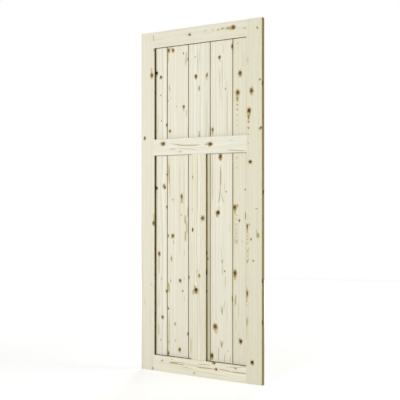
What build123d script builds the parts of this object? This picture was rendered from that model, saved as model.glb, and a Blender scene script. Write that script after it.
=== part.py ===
"""Leaf of a sliding barn door: a pine frame with a mid rail and a mullion over tongue-and-groove boards."""
import math
import os
from dataclasses import dataclass
from build123d import *

# Lengths are millimetres. X runs across the door, Y from its front face to its back, and Z up.
# The origin is the middle of the bottom edge, half way through the thickness.
INCH = 25.4

# Outside of the door, and the stock that it is made from
DOOR_WIDTH = 34 * INCH
DOOR_HEIGHT = 84 * INCH
DOOR_THICKNESS = 1.25 * INCH
MEMBER_WIDTH = 4 * INCH
BOARD_THICKNESS = 0.5 * INCH
MID_RAIL_CENTRE = 55.35 * INCH

# Board run: the face that one board covers, and the joint line nearest the middle of the door
BOARD_COVER = 6.18 * INCH
CENTRE_JOINT = 2.78 * INCH
BOARDS_LEFT_OF_JOINT = 3
BOARD_COUNT = 5
JOINT_GAP = 0.4
V_DEPTH = 3.0
TONGUE_LENGTH = 6.3
TONGUE_THICKNESS = 4.0
TONGUE_TIP = 0.7
GROOVE_DEPTH = 7.0
GROOVE_WIDTH = 4.2

# The boards lie in a rabbet that is cut in the back of the outer frame, with room to swell
RABBET_WIDTH = 0.5 * INCH
SWELL_GAP = 1.2

# Exposed corners are eased with a small 45 degree flat
EASE = 0.8
CUT_OVERSHOOT = 1.0

# Fluted dowels, two to a joint
RAIL_DOWEL_DIAMETER = 0.375 * INCH
THIN_DOWEL_DIAMETER = 0.3125 * INCH
DOWEL_LENGTH = 2.5 * INCH
DOWEL_SPACING = 2.0 * INCH
DOWEL_TAPER = 1.0
DOWEL_END_ROOM = 1.5
RIDGE_COUNT = 10
FLUTE_DEPTH = 0.45

# Flat-wire finish nails, driven from the back and flush there
NAIL_LENGTH = 25.0
NAIL_WIDTH = 1.6
NAIL_DEPTH = 1.4
NAIL_HEAD_WIDTH = 2.9
NAIL_HEAD_THICKNESS = 0.8
NAIL_POINT = 2.5
NAIL_EDGE_INSET = 1.25 * INCH
STILE_NAIL_ROWS = 6
MULLION_NAIL_ROWS = 5

# Planes that follow from those sizes
HALF_WIDTH = DOOR_WIDTH / 2
FRONT = -DOOR_THICKNESS / 2
BACK = DOOR_THICKNESS / 2
BOARD_FRONT = BACK - BOARD_THICKNESS
BOARD_MIDDLE = (BOARD_FRONT + BACK) / 2
THIN_MEMBER_MIDDLE = (FRONT + BOARD_FRONT) / 2
OPENING_SIDE = HALF_WIDTH - MEMBER_WIDTH
OPENING_BOTTOM = MEMBER_WIDTH
OPENING_TOP = DOOR_HEIGHT - MEMBER_WIDTH
MID_RAIL_BOTTOM = MID_RAIL_CENTRE - MEMBER_WIDTH / 2
MID_RAIL_TOP = MID_RAIL_CENTRE + MEMBER_WIDTH / 2
BOARD_BOTTOM = OPENING_BOTTOM - RABBET_WIDTH + SWELL_GAP
BOARD_TOP = OPENING_TOP + RABBET_WIDTH - SWELL_GAP
BOARD_RUN_SIDE = OPENING_SIDE + RABBET_WIDTH - SWELL_GAP


def block(x_range, y_range, z_range):
    """A box between three pairs of planes, each pair in any order."""
    spans = [sorted(pair) for pair in (x_range, y_range, z_range)]
    sizes = [high - low for low, high in spans]
    centre = [(low + high) / 2 for low, high in spans]
    return Pos(*centre) * Box(*sizes)


def corner_triangle(corner, inward, size):
    """The triangle that a 45 degree flat takes off a square corner; inward holds two signs into the wood."""
    over = CUT_OVERSHOOT
    offsets = [(size + over, -over), (-over, size + over), (-over, -over)]
    points = [(corner[0] + inward[0] * a, corner[1] + inward[1] * b) for a, b in offsets]
    return make_face(Polyline(*points, close=True))


def arris_along_z(x, y, inward, z_range):
    """The sliver that easing takes off an upright corner at (x, y)."""
    low, high = z_range
    return extrude(Plane.XY.offset(low) * corner_triangle((x, y), inward, EASE), high - low)


def arris_along_x(y, z, inward, x_range):
    """The sliver that easing takes off a level corner at (y, z)."""
    low, high = x_range
    return extrude(Plane.YZ.offset(low) * corner_triangle((y, z), inward, EASE), high - low)


def ridged_outline(radius):
    """The section of a fluted dowel: glue flutes between ridges that reach the given radius."""
    points = []
    for step in range(2 * RIDGE_COUNT):
        angle = math.pi * step / RIDGE_COUNT
        reach = radius if step % 2 == 0 else radius - FLUTE_DEPTH
        points.append((reach * math.cos(angle), reach * math.sin(angle)))
    return make_face(Polyline(*points, close=True))


def fluted_dowel(diameter):
    """A dowel with straight glue flutes and tapered ends, centred on the origin along Z."""
    radius = diameter / 2
    tip = radius - DOWEL_TAPER
    end = DOWEL_LENGTH / 2
    shoulder = end - DOWEL_TAPER
    sections = ((-end, tip), (-shoulder, radius), (shoulder, radius), (end, tip))
    return loft([Pos(0, 0, height) * ridged_outline(reach) for height, reach in sections], ruled=True)


@dataclass(frozen=True)
class DowelJoint:
    """Two dowels where one member ends on another.

    centre is the middle of the joint line, along is the way the dowels point, and spread is the way
    that they stand apart.
    """

    name: str
    centre: Vector
    along: Vector
    spread: Vector
    diameter: float

    def places(self):
        """The plane of each dowel, with its Z along the dowel."""
        offsets = (-DOWEL_SPACING / 2, DOWEL_SPACING / 2)
        return [Plane(self.centre + self.spread * offset, z_dir=self.along) for offset in offsets]

    def bores(self):
        """The holes in both members, a little longer than the dowels."""
        hole = Cylinder(self.diameter / 2, DOWEL_LENGTH + 2 * DOWEL_END_ROOM)
        return [place * hole for place in self.places()]

    def dowels(self):
        """The dowels in their holes."""
        return [place * fluted_dowel(self.diameter) for place in self.places()]


def dowel_joints():
    """The frame's eight joints."""
    across, up = Vector(1, 0, 0), Vector(0, 0, 1)
    rails = {
        "top": (DOOR_HEIGHT - MEMBER_WIDTH / 2, 0.0, RAIL_DOWEL_DIAMETER),
        "mid": (MID_RAIL_CENTRE, THIN_MEMBER_MIDDLE, THIN_DOWEL_DIAMETER),
        "bottom": (MEMBER_WIDTH / 2, 0.0, RAIL_DOWEL_DIAMETER),
    }
    joints = []
    for rail, (height, depth, diameter) in rails.items():
        for side_name, x in (("left", -OPENING_SIDE), ("right", OPENING_SIDE)):
            centre = Vector(x, depth, height)
            joints.append(DowelJoint(f"dowels_{rail}_rail_{side_name}", centre, across, up, diameter))
    for end, height in (("head", MID_RAIL_BOTTOM), ("foot", OPENING_BOTTOM)):
        centre = Vector(0, THIN_MEMBER_MIDDLE, height)
        joints.append(DowelJoint(f"dowels_mullion_{end}", centre, up, across, THIN_DOWEL_DIAMETER))
    return joints


def stile(side):
    """One full-height side member; side is -1 on the left and 1 on the right."""
    inner, outer = side * OPENING_SIDE, side * HALF_WIDTH
    across = sorted((inner, outer))
    full_height = (0, DOOR_HEIGHT)
    rabbet_height = (OPENING_BOTTOM - RABBET_WIDTH, OPENING_TOP + RABBET_WIDTH)
    wood = block(across, (FRONT, BACK), full_height)
    wood -= block((inner, inner + side * RABBET_WIDTH), (BOARD_FRONT, BACK), rabbet_height)
    wood -= arris_along_z(outer, FRONT, (-side, 1), full_height)
    wood -= arris_along_z(outer, BACK, (-side, -1), full_height)
    for opening in ((OPENING_BOTTOM, MID_RAIL_BOTTOM), (MID_RAIL_TOP, OPENING_TOP)):
        wood -= arris_along_z(inner, FRONT, (side, 1), opening)
    for face, into in ((FRONT, 1), (BACK, -1)):
        wood -= arris_along_x(face, 0, (into, 1), across)
        wood -= arris_along_x(face, DOOR_HEIGHT, (into, -1), across)
    return wood


def rabbeted_rail(outer, inner):
    """The top or bottom rail, from its outer edge to the edge that holds the boards."""
    across = (-OPENING_SIDE, OPENING_SIDE)
    into = 1 if inner > outer else -1
    wood = block(across, (FRONT, BACK), (outer, inner))
    wood -= block(across, (BOARD_FRONT, BACK), (inner - into * RABBET_WIDTH, inner))
    wood -= arris_along_x(FRONT, outer, (1, into), across)
    wood -= arris_along_x(BACK, outer, (-1, into), across)
    wood -= arris_along_x(FRONT, inner, (1, -into), across)
    return wood


def mid_rail():
    """The thin rail that crosses in front of the boards, between the stiles."""
    across = (-OPENING_SIDE, OPENING_SIDE)
    wood = block(across, (FRONT, BOARD_FRONT), (MID_RAIL_BOTTOM, MID_RAIL_TOP))
    wood -= arris_along_x(FRONT, MID_RAIL_BOTTOM, (1, 1), across)
    wood -= arris_along_x(FRONT, MID_RAIL_TOP, (1, -1), across)
    return wood


def mullion():
    """The thin upright in front of the boards, from the bottom rail to the mid rail."""
    half = MEMBER_WIDTH / 2
    height = (OPENING_BOTTOM, MID_RAIL_BOTTOM)
    wood = block((-half, half), (FRONT, BOARD_FRONT), height)
    for side in (-1, 1):
        wood -= arris_along_z(side * half, FRONT, (-side, 1), height)
    return wood


def board_edges():
    """The X of each board edge, from the ripped left edge over the joints to the ripped right edge."""
    first_joint = CENTRE_JOINT - BOARD_COVER * (BOARDS_LEFT_OF_JOINT - 1)
    joints = [first_joint + BOARD_COVER * step for step in range(BOARD_COUNT - 1)]
    return [-BOARD_RUN_SIDE, *joints, BOARD_RUN_SIDE]


def tongue(shoulder):
    """The section of a tongue that stands out to the right of a board's shoulder."""
    half = TONGUE_THICKNESS / 2
    tip = shoulder + TONGUE_LENGTH
    upper = [(shoulder, half), (tip - TONGUE_TIP, half), (tip, half - TONGUE_TIP)]
    lower = [(x, -y) for x, y in reversed(upper)]
    return Pos(0, BOARD_MIDDLE) * make_face(Polyline(*upper, *lower, close=True))


def board(left, right, grooved, tongued):
    """One board, with a V on both faces along each joint; a ripped edge stays square."""
    low = left + JOINT_GAP / 2 if grooved else left
    high = right - JOINT_GAP / 2 if tongued else right
    section = Pos((low + high) / 2, BOARD_MIDDLE) * Rectangle(high - low, BOARD_THICKNESS)
    if grooved:
        section -= Pos(low + GROOVE_DEPTH / 2, BOARD_MIDDLE) * Rectangle(GROOVE_DEPTH, GROOVE_WIDTH)
    if tongued:
        section += tongue(high)
    for joined, x, into in ((grooved, low, 1), (tongued, high, -1)):
        if joined:
            section -= corner_triangle((x, BOARD_FRONT), (into, 1), V_DEPTH)
            section -= corner_triangle((x, BACK), (into, -1), V_DEPTH)
    return extrude(Pos(0, 0, BOARD_BOTTOM) * section, BOARD_TOP - BOARD_BOTTOM)


def nail():
    """A flat-wire nail with a T head that is flush with the plane Y = 0, and its point towards -Y."""
    half_head = NAIL_HEAD_WIDTH / 2
    half_depth = NAIL_DEPTH / 2
    head = block((-half_head, half_head), (-NAIL_HEAD_THICKNESS, 0), (-half_depth, half_depth))
    half = NAIL_WIDTH / 2
    point_start = NAIL_POINT - NAIL_LENGTH
    outline = [(-half, 0), (-half, point_start), (0, -NAIL_LENGTH), (half, point_start), (half, 0)]
    shank = extrude(make_face(Polyline(*outline, close=True)), half_depth, both=True)
    return head + shank


def even_steps(low, high, count):
    """Evenly spaced values from low to high."""
    return [low + (high - low) * step / (count - 1) for step in range(count)]


def nail_rows():
    """The X and Z of every nail, by the member that it holds the boards to."""
    edges = board_edges()
    across = []
    for left, right in zip(edges, edges[1:]):
        across += [left + NAIL_EDGE_INSET, right - NAIL_EDGE_INSET]
    rail_heights = {
        "top_rail": OPENING_TOP + RABBET_WIDTH / 2,
        "mid_rail": MID_RAIL_CENTRE,
        "bottom_rail": OPENING_BOTTOM - RABBET_WIDTH / 2,
    }
    rows = {member: [(x, z) for x in across] for member, z in rail_heights.items()}
    upright = even_steps(OPENING_BOTTOM + MEMBER_WIDTH, OPENING_TOP - MEMBER_WIDTH, STILE_NAIL_ROWS)
    in_rabbet = OPENING_SIDE + RABBET_WIDTH / 2
    for member, x in (("left_stile", -in_rabbet), ("right_stile", in_rabbet)):
        rows[member] = [(x, z) for z in upright]
    heights = even_steps(OPENING_BOTTOM + MEMBER_WIDTH, MID_RAIL_BOTTOM - MEMBER_WIDTH, MULLION_NAIL_ROWS)
    rows["mullion"] = [(x, z) for z in heights for x in (-MEMBER_WIDTH / 4, MEMBER_WIDTH / 4)]
    return rows


def frame_members():
    """The six members by name, before their dowel holes and nail slots."""
    return {
        "left_stile": stile(-1),
        "right_stile": stile(1),
        "top_rail": rabbeted_rail(DOOR_HEIGHT, OPENING_TOP),
        "mid_rail": mid_rail(),
        "bottom_rail": rabbeted_rail(0, OPENING_BOTTOM),
        "mullion": mullion(),
    }


def boards():
    """The boards by name, from left to right."""
    edges = board_edges()
    last = BOARD_COUNT - 1
    return {
        f"board_{index + 1}": board(edges[index], edges[index + 1], grooved=index > 0, tongued=index < last)
        for index in range(BOARD_COUNT)
    }


def reaches(box, other):
    """Whether two bounding boxes share any room."""
    low = (max(box.min.X, other.min.X), max(box.min.Y, other.min.Y), max(box.min.Z, other.min.Z))
    high = (min(box.max.X, other.max.X), min(box.max.Y, other.max.Y), min(box.max.Z, other.max.Z))
    return all(start < end for start, end in zip(low, high))


def cut_by(wood, cutters):
    """The wood without the cutters that reach it."""
    near = [cutter for cutter in cutters if reaches(wood.bounding_box(), cutter.bounding_box())]
    return wood - near if near else wood


def build_door():
    """Every node of the door by name."""
    joints = dowel_joints()
    bores = [bore for joint in joints for bore in joint.bores()]
    nails = {member: [Pos(x, BACK, z) * nail() for x, z in row] for member, row in nail_rows().items()}
    slots = [single for group in nails.values() for single in group]
    nodes = {name: cut_by(cut_by(wood, bores), slots) for name, wood in frame_members().items()}
    nodes.update({name: cut_by(wood, slots) for name, wood in boards().items()})
    nodes.update({joint.name: Compound(children=joint.dowels()) for joint in joints})
    nodes.update({f"nails_{member}": Compound(children=group) for member, group in nails.items()})
    return nodes


os.makedirs("parts", exist_ok=True)
for node_name, shape in build_door().items():
    export_step(shape, f"parts/{node_name}.step")
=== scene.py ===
"""Looks of a sliding barn door leaf: planed knotty pine, its dowels and nails, a studio and a camera."""
import logging
import math
from collections.abc import Callable
from dataclasses import dataclass, field
from enum import Enum
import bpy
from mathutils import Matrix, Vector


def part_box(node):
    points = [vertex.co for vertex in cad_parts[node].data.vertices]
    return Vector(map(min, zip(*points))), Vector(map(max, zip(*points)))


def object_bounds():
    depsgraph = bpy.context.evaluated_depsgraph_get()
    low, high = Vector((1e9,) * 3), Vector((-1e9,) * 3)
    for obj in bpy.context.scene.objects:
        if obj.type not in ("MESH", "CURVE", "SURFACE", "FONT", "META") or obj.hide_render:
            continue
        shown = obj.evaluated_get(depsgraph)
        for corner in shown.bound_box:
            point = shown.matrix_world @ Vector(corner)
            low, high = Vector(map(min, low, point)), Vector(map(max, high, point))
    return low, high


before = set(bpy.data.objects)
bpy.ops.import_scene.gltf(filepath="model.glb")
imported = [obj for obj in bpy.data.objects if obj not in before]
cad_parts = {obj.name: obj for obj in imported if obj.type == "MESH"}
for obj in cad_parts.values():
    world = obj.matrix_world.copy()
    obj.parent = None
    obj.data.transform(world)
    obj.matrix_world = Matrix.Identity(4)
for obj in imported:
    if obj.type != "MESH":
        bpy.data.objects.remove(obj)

from types import SimpleNamespace
from typing import Any

import bpy
from mathutils import Vector

log = logging.getLogger("barn_door")

MM_PER_M = 1000.0
CAD_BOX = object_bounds()
DOOR_LOW, DOOR_HIGH = CAD_BOX
FRONT_FACE = DOOR_LOW.y
MIDDLE_HEIGHT = (DOOR_LOW.z + DOOR_HIGH.z) / 2

Tree = bpy.types.ShaderNodeTree
Node = bpy.types.Node
Socket = bpy.types.NodeSocket
Place = tuple[float, float, float]


def linear(hex_colour: str) -> tuple[float, float, float, float]:
    """Turn an sRGB hex colour into linear RGBA.

    Args:
        hex_colour: Six hex digits, such as "e4e0cd".

    Returns:
        The linear colour with an alpha of 1.
    """
    channels = [int(hex_colour[start:start + 2], 16) / 255 for start in (0, 2, 4)]
    curve = [c / 12.92 if c <= 0.04045 else ((c + 0.055) / 1.055) ** 2.4 for c in channels]
    return curve[0], curve[1], curve[2], 1.0


def add(tree: Tree, kind: str, settings: dict[str, Any] | None = None, **inputs: Any) -> Node:
    """Add one node with its settings, and set or link its inputs.

    Args:
        tree: The node tree that gets the node.
        kind: The node's type, without the ShaderNode prefix.
        settings: Attributes of the node, such as operation.
        inputs: Numbers, values, or nodes for their first output. A name is the input's own with _ for a
            blank, or in_ and its number.

    Returns:
        The new node.
    """
    node = tree.nodes.new(f"ShaderNode{kind}")
    for name, value in (settings or {}).items():
        setattr(node, name, value)
    for name, value in inputs.items():
        key: int | str = int(name[3:]) if name.startswith("in_") else name.replace("_", " ")
        if isinstance(value, Value):
            tree.links.new(value.socket, node.inputs[key])
        elif isinstance(value, bpy.types.Node):
            tree.links.new(value.outputs[0], node.inputs[key])
        else:
            node.inputs[key].default_value = value
    return node


@dataclass(frozen=True)
class Value:
    """A number, vector or colour that nodes work out. Arithmetic with it adds nodes to its tree."""

    socket: Socket

    @property
    def tree(self) -> Tree:
        """Find the node tree that it belongs to."""
        return self.socket.id_data

    def maths(self, operation: str, *others: Any) -> "Value":
        """Add a Math node, or a Vector Math node where this is a vector or colour.

        Args:
            operation: What the node does.
            others: Its operands after this one.

        Returns:
            The result.
        """
        kind = "Math" if self.socket.type == "VALUE" else "VectorMath"
        operands = {f"in_{index}": operand for index, operand in enumerate((self, *others))}
        return Value(add(self.tree, kind, {"operation": operation}, **operands).outputs[0])

    def __add__(self, other: Any) -> "Value":
        """Add another."""
        return self.maths("ADD", other)

    def __sub__(self, other: Any) -> "Value":
        """Take another away."""
        return self.maths("SUBTRACT", other)

    def __rsub__(self, number: float) -> "Value":
        """Take this away from a number."""
        return Value(add(self.tree, "Math", {"operation": "SUBTRACT"}, in_0=number, in_1=self).outputs[0])

    def __mul__(self, other: Any) -> "Value":
        """Multiply by another."""
        return self.maths("MULTIPLY", other)

    def __truediv__(self, other: Any) -> "Value":
        """Divide by another."""
        return self.maths("DIVIDE", other)

    def __abs__(self) -> "Value":
        """Drop the sign."""
        return self.maths("ABSOLUTE")

    def root(self) -> "Value":
        """Take the square root."""
        return self.maths("SQRT")

    def larger(self, other: Any) -> "Value":
        """Take the larger of this and another."""
        return self.maths("MAXIMUM", other)

    def parts(self) -> tuple["Value", ...]:
        """Take a vector or colour apart into its three numbers."""
        return tuple(Value(part) for part in add(self.tree, "SeparateXYZ", in_0=self).outputs)

    def ramp(self, low: float, high: float) -> "Value":
        """Rise smoothly from 0 at low to 1 at high, or fall where low is above high.

        Args:
            low: Where the result is 0.
            high: Where the result is 1.

        Returns:
            A number from 0 to 1.
        """
        ends = (low, high, 0.0, 1.0) if low < high else (high, low, 1.0, 0.0)
        names = ("From_Min", "From_Max", "To_Min", "To_Max")
        settings = {"interpolation_type": "SMOOTHSTEP"}
        return Value(add(self.tree, "MapRange", settings, Value=self, **dict(zip(names, ends))).outputs[0])

    def blend(self, under: Any, over: Any) -> "Value":
        """Lay one colour over another, by this much.

        Args:
            under: The lower colour, as a value or a hex colour.
            over: The upper colour, likewise.

        Returns:
            The mixed colour.
        """
        lower, upper = (linear(colour) if isinstance(colour, str) else colour for colour in (under, over))
        settings = {"data_type": "RGBA", "clamp_factor": True}
        return Value(add(self.tree, "Mix", settings, in_0=self, in_6=lower, in_7=upper).outputs[2])


def combine(*sides: Value) -> Value:
    """Put up to three numbers together as a vector."""
    return Value(add(sides[0].tree, "CombineXYZ", **dict(zip("XYZ", sides))).outputs[0])


def place_on(tree: Tree) -> Value:
    """Give the place on the object, in metres along its own axes."""
    return Value(add(tree, "TexCoord").outputs["Object"])


def noise(point: Value, scale: Place, detail: float, start: Place = (0.0, 0.0, 0.0)) -> tuple[Value, Value]:
    """Lay noise on an object.

    Args:
        point: The place on the object.
        scale: How many of its patches there are to a unit of length, along each axis.
        detail: How many finer layers it has.
        start: Where it is read from.

    Returns:
        The noise as a number and as a colour.
    """
    moved = add(point.tree, "Mapping", in_0=point, Scale=scale, Location=start)
    outputs = add(point.tree, "TexNoise", Vector=moved, Scale=1.0, Detail=detail).outputs
    return Value(outputs["Fac"]), Value(outputs["Color"])


def empty_tree(owner: bpy.types.Material | bpy.types.World) -> Tree:
    """Clear the nodes that a new material or world comes with.

    Args:
        owner: The material or world.

    Returns:
        Its node tree.
    """
    owner.use_nodes = True
    owner.node_tree.nodes.clear()
    return owner.node_tree


class Grain(Enum):
    """Which way a member's fibres run."""

    UPRIGHT = "upright"
    LEVEL = "level"


class KnotTone(Enum):
    """Centre and ring colours of the kinds of knot."""

    BLACK = ("281a0c", "4a3218")
    DARK = ("4a3018", "6e5030")
    BROWN = ("583c1e", "846840")
    RED = ("5c3a1e", "8a6436")
    TAN = ("87733f", "a59560")
    OLIVE = ("6f6630", "948a4e")
    GREY = ("4c483a", "77725f")


@dataclass(frozen=True)
class Knot:
    """A branch cut through by the face, in millimetres from the middle of the door's bottom edge.

    On an edge, x is the depth from the middle of the door's thickness. stretch lengthens it along the grain,
    strength is how much of it covers the wood, and resin is how much of a golden ring it has.
    """

    x: float
    z: float
    radius: float
    tone: KnotTone = KnotTone.DARK
    stretch: float = 1.2
    strength: float = 1.0
    resin: float = 1.0


@dataclass(frozen=True)
class Streak:
    """A soft tan line along the grain, which turns dark and resinous where its strength passes 1. A few long
    faint ones are painted shade along the corners beside the frame.

    slope is its sideways drift along the grain, and bow is how far its ends curve aside.
    """

    x: float
    z: float
    half_width: float
    half_length: float
    strength: float = 0.6
    slope: float = 0.0
    bow: float = 0.0


@dataclass(frozen=True)
class Feather:
    """A trail of uneven chevrons along the grain, which narrows and fades away from its start.

    length is negative where it runs down or left, and pitch is the way from one chevron to the next.
    """

    x: float
    z: float
    half_width: float
    length: float
    strength: float = 1.0
    pitch: float = 30.0


@dataclass(frozen=True)
class Flame:
    """A V of dark latewood, widest at its start, where the face cuts through the top of a ring.

    length is negative where its tip points down or left. arm is the thickness of its two sides, which fill
    the V where they are as thick as it is wide.
    """

    x: float
    z: float
    half_width: float
    length: float
    arm: float = 4.0
    strength: float = 0.8


Mark = Knot | Streak | Feather | Flame


@dataclass(frozen=True)
class PinePalette:
    """Colours of planed, unfinished pine: pale sapwood, tan latewood and darker edges. The outer edges' tone
    is partly the edge grain's own and partly painted shade; the inner edges' much darker tone is mostly
    painted shade.
    """

    sapwood: str
    warm_band: str
    # The inner edges' colour is mostly painted shade: the recessed sides of the frame, the rails' ledges and
    # undersides, and the V-joint bevels of the boards
    inner_edge: str
    outer_edge: str = "a4905a"
    latewood: str = "d3caab"
    streak: str = "ac9a52"
    resin: str = "6a5a38"
    halo: str = "b7a465"
    halo_rim: str = "93783c"


# The grain bends round a knot over a longer stretch than the knot itself
FLOW_STRETCH = 2.0
# The resin round a knot is drawn out along the grain, and more so below the knot
HALO_STRETCH = 1.3
HALO_DROP = 0.25
# Where a knot and its resin fade out and where they are full, in radii from the knot's centre
KNOT_EDGE = (1.12, 0.62)
HALO_EDGE = (1.8, 0.75)
# How much noise makes the outline of a knot's resin and of its ring uneven
HALO_RAGGED = -2.0
RIM_RAGGED = 1.6
# Where a knot's dark heart ends and its ring is full, in radii
KNOT_RIM = (0.25, 0.85)
# A knot's colours replace those before it from here inwards, in radii
KNOT_CLAIM = (1.5, 1.3)
# Each knot pushes the next aside by this share of its bend, far too little to see: it makes the renderer
# work the knots out one after another, because a board's knots all at once are more than it has room for
NUDGE = 1e-5
# How far, in millimetres, noise makes the outline of the knots ragged across and along the grain
KNOT_RAGGED = (6.0, 7.0, 0.0)
# What a knot's nearness reads where there is none, in radii
FAR_FROM_KNOTS = 9.0
# How far, in millimetres, the growth rings wander across the face and into the wood
RING_WANDER = (22.0, 40.0)
# By how many rings a ring can be out of step, and how quickly that changes from ring to ring
RING_JITTER = 2.2
RING_JITTER_PACE = 0.35
# Width in millimetres of the broad warm bands, and how far the tan lines sway
BAND_WIDTH = 17.0
LINE_SWAY = 6.0
# How near to the door's outline, in metres, an edge counts as an outer one
OUTLINE_DEPTH = 0.006
# How steep a feather's chevrons are, and the size in millimetres of its strong and weak patches
FEATHER_SLOPE = 1.1
FEATHER_PATCH = 34.0
# How much of the normal still points to the front or back where the edge tone starts and where it is full:
# a frame member's broken arrises look like its face, and a board's bevels look like its edge, painted shade
# and all
ARRISES = (0.6, 0.45)
BEVELS = (0.95, 0.8)


class NodeGroups:
    """The node groups that every pine material shares."""

    def __init__(self) -> None:
        """Build each group once."""
        self.knot = self._knot_group()
        self.lines = {
            Streak: self._line_group("streak", ("Slope", "Bow"), self._streak),
            Feather: self._line_group("feather", ("Pitch",), self._feather),
            Flame: self._line_group("flame", ("Arm",), self._flame),
        }

    @staticmethod
    def _new(name: str, takes: dict[str, str], gives: dict[str, str]) -> tuple[SimpleNamespace, Node]:
        """Make an empty group.

        Args:
            name: The group's name.
            takes: The type of each input by name.
            gives: The type of each output by name.

        Returns:
            Its inputs by name in small letters, and its output node.
        """
        tree = bpy.data.node_groups.new(name, "ShaderNodeTree")
        for direction, sockets in (("INPUT", takes), ("OUTPUT", gives)):
            for socket, kind in sockets.items():
                tree.interface.new_socket(socket, in_out=direction, socket_type=f"NodeSocket{kind}")
        inputs = tree.nodes.new("NodeGroupInput").outputs
        given = SimpleNamespace(**{socket.lower(): Value(inputs[socket]) for socket in takes})
        return given, tree.nodes.new("NodeGroupOutput")

    def _knot_group(self) -> Tree:
        """Bend the grain round one knot, and lay its colour over those before it.

        Returns:
            The group's tree.
        """
        own = {"Centre": "Vector", "Radius": "Float", "Stretch": "Float"}
        own |= {"Strength": "Float", "Resin": "Float", "Mottle": "Float", "Heart": "Color", "Rim": "Color"}
        running = {"Shift": "Float", "Core": "Float", "Halo": "Float", "Nearest": "Float", "Tone": "Color"}
        running |= {"Point": "Vector"}
        given, out = self._new("knot", own | running, running)
        across, along, _ = (given.point - given.centre).parts()
        across_squared = across * across
        radius_squared = given.radius * given.radius
        short = along / given.stretch
        reach = ((short * short + across_squared) / radius_squared).root()
        long = short / FLOW_STRETCH
        flow = (long * long + across_squared) / radius_squared
        bend = across / flow.larger(1.0)
        cover = reach.ramp(*KNOT_EDGE) * given.strength
        lower = given.radius * HALO_DROP + along
        drawn_out = lower / (given.stretch * HALO_STRETCH)
        around = ((drawn_out * drawn_out + across_squared) / radius_squared).root()
        uneven = given.mottle * HALO_RAGGED + around
        rim = given.mottle * RIM_RAGGED + reach.ramp(*KNOT_RIM)
        shift = given.shift - bend
        results = {
            "Point": given.point + combine(shift * NUDGE),
            "Shift": shift,
            "Core": given.core.larger(cover),
            "Halo": given.halo.larger(uneven.ramp(*HALO_EDGE) * given.strength * given.resin),
            "Nearest": given.nearest.maths("MINIMUM", reach),
            "Tone": reach.ramp(*KNOT_CLAIM).blend(given.tone, rim.blend(given.heart, given.rim)),
        }
        for name, value in results.items():
            value.tree.links.new(value.socket, out.inputs[name])
        return shift.tree

    def _line_group(self, name: str, extra: tuple[str, ...], draw: Callable[..., Value]) -> Tree:
        """Draw one kind of tan line over those before it, keeping the darker of the two.

        Args:
            name: The group's name.
            extra: Its own inputs, beside the line's width, length and strength.
            draw: Draws the line from its inputs and the place from its centre.

        Returns:
            The group's tree.
        """
        takes = {"Point": "Vector", "Centre": "Vector"}
        takes |= dict.fromkeys(("Width", "Length", "Strength", "Tan", *extra), "Float")
        given, out = self._new(name, takes, {"Tan": "Float"})
        given.across, given.along, _ = (given.point - given.centre).parts()
        tan = given.tan.larger(draw(given) * given.strength)
        tan.tree.links.new(tan.socket, out.inputs["Tan"])
        return tan.tree

    @staticmethod
    def _streak(line: SimpleNamespace) -> Value:
        """Fade a line out on both sides and towards both ends.

        Args:
            line: The group's inputs, and the place from its centre.

        Returns:
            A number from 0 beside the line to 1 on it.
        """
        end = abs(line.along / line.length)
        drift = end * end * line.bow + line.along * line.slope
        side = abs((line.across - drift) / line.width)
        return side.ramp(1.0, 0.1) * end.ramp(1.0, 0.4)

    @staticmethod
    def _feather(line: SimpleNamespace) -> Value:
        """Repeat a chevron along a narrowing trail, unevenly and here and there hardly at all.

        Args:
            line: The group's inputs, and the place from its centre.

        Returns:
            A number from 0 beside the chevrons to 1 on them.
        """
        jitter, patch, _ = noise(line.point, (1 / FEATHER_PATCH,) * 3, 2.0)[1].parts()
        side = abs(line.across)
        run = line.along / line.length
        narrow = side / (line.width * (1.3 - run))
        tip = side * FEATHER_SLOPE * line.length.maths("SIGN")
        phase = jitter * 1.6 + (line.along + tip) / line.pitch
        wave = (phase * math.tau).maths("SINE")
        within = narrow.ramp(1.0, 0.0) * run.ramp(0.0, 0.03) * run.ramp(1.1, 0.1)
        return within * (wave.ramp(-0.3, 0.9) * patch.ramp(0.3, 0.58))

    @staticmethod
    def _flame(line: SimpleNamespace) -> Value:
        """Draw two arms that meet in a tip.

        Args:
            line: The group's inputs, and the place from its centre.

        Returns:
            A number from 0 beside the arms to 1 on them.
        """
        run = line.along / line.length
        apart = abs(line.across) - line.width * (1.0 - run)
        ends = run.ramp(0.0, 0.6) * run.ramp(1.25, 0.95)
        return (abs(apart) / line.arm).ramp(1.0, 0.2) * ends


@dataclass(frozen=True)
class WoodNodes:
    """What the saw has laid bare at each point of a piece.

    point is in millimetres across the grain, along it and into the wood. tan passes 1 where a line is dark.
    """

    groups: NodeGroups
    point: Value
    knots: dict[str, Value]
    tan: Value
    rings: Value
    bands: Value
    fibre: Value


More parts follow.
